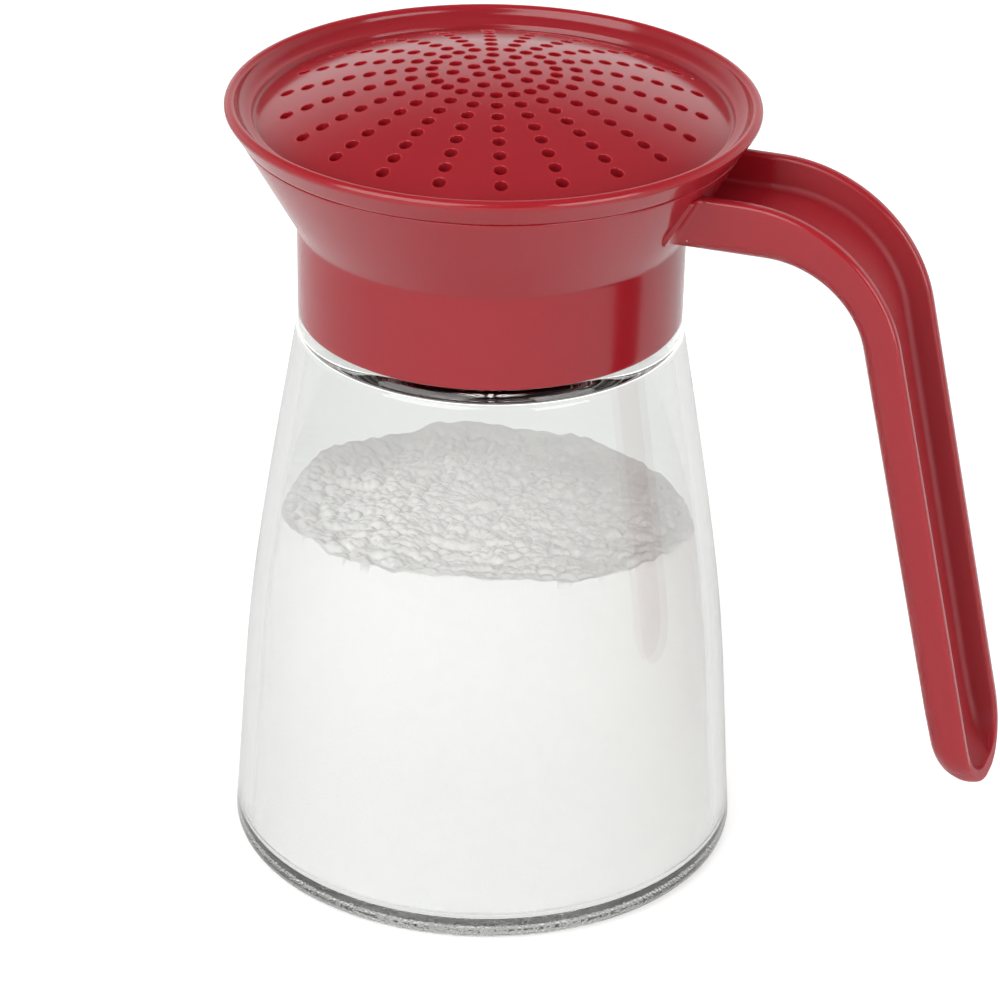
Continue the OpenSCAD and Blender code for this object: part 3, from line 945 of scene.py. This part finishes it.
def sieve_rim_profile():
    """From the dome's last cells up over the rim, down its band and plug, and back under the dome."""
    edge_r = (RINGS + 0.5) * RING_PITCH
    top = [(r, dome_z(r, 0)) for r in [edge_r + (DOME_FOOT_R - 0.35 - edge_r) * i / 6 for i in range(7)]]
    crest_mid = (RIM_R - CREST_R, CREST_Z - CREST_R)
    crest_in = (crest_mid[0] + CREST_R * cos(radians(160)), crest_mid[1] + CREST_R * sin(radians(160)))
    gutter = curve(
        top[-1],
        (DOME_FOOT_R - 0.1, DOME_FOOT_Z + 0.02),
        (DOME_FOOT_R + 0.1, DOME_FOOT_Z + 0.1),
        (LEDGE_R - 0.1, LEDGE_Z - 0.15),
        5,
    ) + [(LEDGE_R, LEDGE_Z), (LEDGE_R + 0.15, LEDGE_Z + 0.04)]
    wall = curve(
        gutter[-1],
        (LEDGE_R + 1.2, LEDGE_Z + 0.1),
        (crest_in[0] - 0.35, crest_in[1] - 1.0),
        crest_in,
        12,
    )
    crest = arc(crest_mid, CREST_R, 158, -28, 16)
    band_low = (flare_outer(SEAM_Z + SEAM_GROOVE), SEAM_Z + SEAM_GROOVE)
    band = (
        crest
        + line(crest[-1], band_low, 8)
        + curve(
            band_low,
            (FLARE_R - 0.02, SEAM_Z + 0.12),
            (FLARE_R - 0.1, SEAM_Z + 0.02),
            (FLARE_R - SEAM_GROOVE, SEAM_Z + 0.01),
            4,
        )
    )
    plug_z = SEAM_Z - PLUG_H
    bead_r = flare_inner(SNAP_Z) - PLUG_GAP
    plug = (
        [(flare_inner(SEAM_Z) - PLUG_GAP, SEAM_Z + 0.01)]
        + arc((bead_r, SNAP_Z), SNAP_R, 50, -40, 6)
        + [(flare_inner(plug_z) - PLUG_GAP, plug_z + 0.2), (flare_inner(plug_z) - PLUG_GAP - 0.2, plug_z)]
        + [(plug_inner(plug_z) + 0.2, plug_z), (plug_inner(plug_z), plug_z + 0.2)]
    )
    inside_z = DOME_FOOT_Z - 1.9
    under = curve(
        plug[-1],
        (plug_inner(inside_z) - 0.2, inside_z - 1),
        (plug_inner(inside_z) + 0.2, dome_z(plug_inner(inside_z), 0, DOME_T) - 0.3),
        (edge_r + 0.3, dome_z(edge_r + 0.3, 0, DOME_T)),
        8,
    )
    return top + gutter + wall + band + plug + under + [(edge_r, dome_z(edge_r, 0, DOME_T))]


def make_sieve(plastic):
    points, faces = [], []
    for mid, edge in sieve_cells():
        loops = hole_loops(mid, edge)
        faces += ring_quads(len(loops), len(edge), first=len(points))
        points += [p for loop in loops for p in loop]
    marks = RAYS * SECTOR
    base = radians(RAY_TURN - 180 / RAYS)
    profile = sieve_rim_profile()
    faces += ring_quads(len(profile), marks, first=len(points))
    turns = [base + 2 * pi * j / marks for j in range(marks)]
    for r, z in profile:
        points += [(r * cos(turn), r * sin(turn), z) for turn in turns]
    sieve = piece("domed_sieve_cap", points, faces, plastic, sharp=40)
    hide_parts("sieve_cap")
    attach(sieve, "head")


# ---------------------------------------------------------------- the studio

# how bright the room is where it isn't white, and what the glass shows of the wall and the floor
ROOM = 0.22
THROUGH_GLASS = 1.0
FLOOR_THROUGH_GLASS = 0.88
# what the paper adds to its lit colour, for the camera and in gloss
FLOOR_GLOW = 0.4
FLOOR_IN_GLOSS = 0.1


def make_world():
    """A white wall behind the object and round its sides, under a dark ceiling, with a dim room in front."""
    world = bpy.data.worlds.new("studio")
    bpy.context.scene.world = world
    world.use_nodes = True
    tree = world.node_tree
    tree.nodes.clear()
    way = add_node(tree, "ShaderNodeTexCoord").outputs["Generated"]
    behind = add_node(
        tree,
        "ShaderNodeVectorMath",
        {"operation": "DOT_PRODUCT", 1: (cos(HEADING), sin(HEADING), 0.0)},
        {0: way},
    )
    wall = add_node(
        tree,
        "ShaderNodeMapRange",
        {"From Min": -0.6, "From Max": 0.5, "To Min": 0.0, "To Max": 1.0},
        {"Value": behind.outputs["Value"]},
    )
    height = add_node(tree, "ShaderNodeSeparateXYZ", links={0: way}).outputs["Z"]
    # the wall fades out between 20 and 40 degrees above the horizon
    low = add_node(
        tree,
        "ShaderNodeMapRange",
        {"From Min": 0.65, "From Max": 0.35, "To Min": 0.0, "To Max": 1.0},
        {"Value": height},
    )
    share = add_node(
        tree,
        "ShaderNodeMath",
        {"operation": "MULTIPLY"},
        {0: wall.outputs["Result"], 1: low.outputs["Result"]},
    )
    level = add_node(
        tree,
        "ShaderNodeMapRange",
        {"From Min": 0.0, "From Max": 1.0, "To Min": ROOM, "To Max": 1.0},
        {"Value": share.outputs[0]},
    )
    # the camera and glass see white all round
    path = add_node(tree, "ShaderNodeLightPath")
    through = add_node(
        tree,
        "ShaderNodeMath",
        {"operation": "MULTIPLY", 1: THROUGH_GLASS},
        {0: path.outputs["Is Transmission Ray"]},
    )
    seen = add_node(
        tree,
        "ShaderNodeMath",
        {"operation": "MAXIMUM"},
        {0: path.outputs["Is Camera Ray"], 1: through.outputs[0]},
    )
    strength = add_node(
        tree,
        "ShaderNodeMath",
        {"operation": "MAXIMUM"},
        {0: level.outputs["Result"], 1: seen.outputs[0]},
    )
    light = add_node(
        tree,
        "ShaderNodeBackground",
        {"Color": linear("#FFFFFF")},
        {"Strength": strength.outputs[0]},
    )
    output = add_node(tree, "ShaderNodeOutputWorld")
    tree.links.new(output.inputs["Surface"], light.outputs[0])


def make_floor():
    """Pale paper that shows white to the camera, and nearly so through glass, and keeps the shadow."""
    made, tree, output = material("studio_floor")
    paper = add_node(tree, "ShaderNodeBsdfDiffuse", {"Color": linear("#DDDDDD")})
    path = add_node(tree, "ShaderNodeLightPath")
    in_gloss = add_node(
        tree,
        "ShaderNodeMath",
        {"operation": "MULTIPLY", 1: FLOOR_IN_GLOSS},
        {0: path.outputs["Is Glossy Ray"]},
    )
    # the lamps leave the far floor dark, so there the paper's own glow takes over
    place = add_node(tree, "ShaderNodeTexCoord").outputs["Object"]
    away = add_node(tree, "ShaderNodeVectorMath", {"operation": "LENGTH"}, {0: place})
    glow_level = add_node(
        tree,
        "ShaderNodeMapRange",
        {"From Min": 0.4, "From Max": 1.6, "To Min": FLOOR_GLOW, "To Max": 1.0},
        {"Value": away.outputs["Value"]},
    )
    share = add_node(
        tree,
        "ShaderNodeMath",
        {"operation": "MULTIPLY_ADD"},
        {0: path.outputs["Is Camera Ray"], 1: glow_level.outputs["Result"], 2: in_gloss.outputs[0]},
    )
    glow = add_node(tree, "ShaderNodeEmission", {"Color": linear("#FFFFFF")}, {"Strength": share.outputs[0]})
    seen = add_node(tree, "ShaderNodeAddShader", links={0: paper.outputs[0], 1: glow.outputs[0]})
    white = add_node(
        tree,
        "ShaderNodeEmission",
        {"Color": linear("#FFFFFF"), "Strength": FLOOR_THROUGH_GLASS},
    )
    mix = add_node(
        tree,
        "ShaderNodeMixShader",
        links={0: path.outputs["Is Transmission Ray"], 1: seen.outputs[0], 2: white.outputs[0]},
    )
    tree.links.new(output.inputs["Surface"], mix.outputs[0])
    reach = 4
    corners = [(-reach, -reach, 0), (reach, -reach, 0), (reach, reach, 0), (-reach, reach, 0)]
    mesh = bpy.data.meshes.new("studio_floor")
    mesh.from_pydata(corners, [], [(0, 1, 2, 3)])
    mesh.materials.append(made)
    ground = bpy.data.objects.new("studio_floor", mesh)
    bpy.context.scene.collection.objects.link(ground)


def make_lamp(name, place, aim, size, power, highlights=True):
    """A square soft lamp at place that faces aim, in metres and watts, seen in gloss or not."""
    data = bpy.data.lights.new(name, "AREA")
    data.size = size
    data.energy = power
    lamp = bpy.data.objects.new(name, data)
    lamp.location = place
    lamp.rotation_euler = (Vector(aim) - Vector(place)).to_track_quat("-Z", "Y").to_euler()
    lamp.visible_camera = False
    lamp.visible_glossy = highlights
    bpy.context.scene.collection.objects.link(lamp)


def make_camera():
    """A long lens that looks down from in front of the jar, with the handle on its right."""
    view = Vector((cos(HEADING) * cos(PITCH), sin(HEADING) * cos(PITCH), sin(PITCH)))
    data = bpy.data.cameras.new("camera")
    data.lens = LENS
    data.sensor_width = 36.0
    camera = bpy.data.objects.new("camera", data)
    turn = view.to_track_quat("-Z", "Y").to_matrix() @ Matrix.Rotation(ROLL, 3, "Z")
    camera.rotation_euler = turn.to_euler()
    camera.location = CAMERA_PLACE
    bpy.context.scene.collection.objects.link(camera)
    bpy.context.scene.camera = camera


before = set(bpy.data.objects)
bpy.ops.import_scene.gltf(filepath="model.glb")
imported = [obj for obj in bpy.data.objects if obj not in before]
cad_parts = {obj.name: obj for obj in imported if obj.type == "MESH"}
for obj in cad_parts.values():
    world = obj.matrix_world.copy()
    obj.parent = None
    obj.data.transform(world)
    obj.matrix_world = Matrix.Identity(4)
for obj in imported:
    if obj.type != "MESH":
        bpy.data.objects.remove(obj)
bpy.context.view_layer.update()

red_plastic = moulded_red_plastic()
make_jar(soda_lime_glass())
make_sugar(powdered_sugar())
make_seal(foamed_polyethylene())
make_handled_collar(red_plastic)
make_sieve(red_plastic)

make_world()
make_floor()
make_lamp("top_softbox", (0.1, 0.25, 0.9), (0, 0, 0.08), 0.7, 3.5, highlights=False)
make_lamp("back_softbox", (-0.25, 1.1, 0.42), (0, 0, 0.1), 1.2, 4.5, highlights=False)
make_lamp("side_softbox", (0.95, -0.5, 0.35), (0, 0, 0.07), 0.7, 6.0)
make_lamp("front_softbox", (-0.35, -0.9, 0.7), (0, 0, 0.07), 1.1, 13.5)
make_camera()

scene = bpy.context.scene
scene.view_settings.view_transform = "Standard"
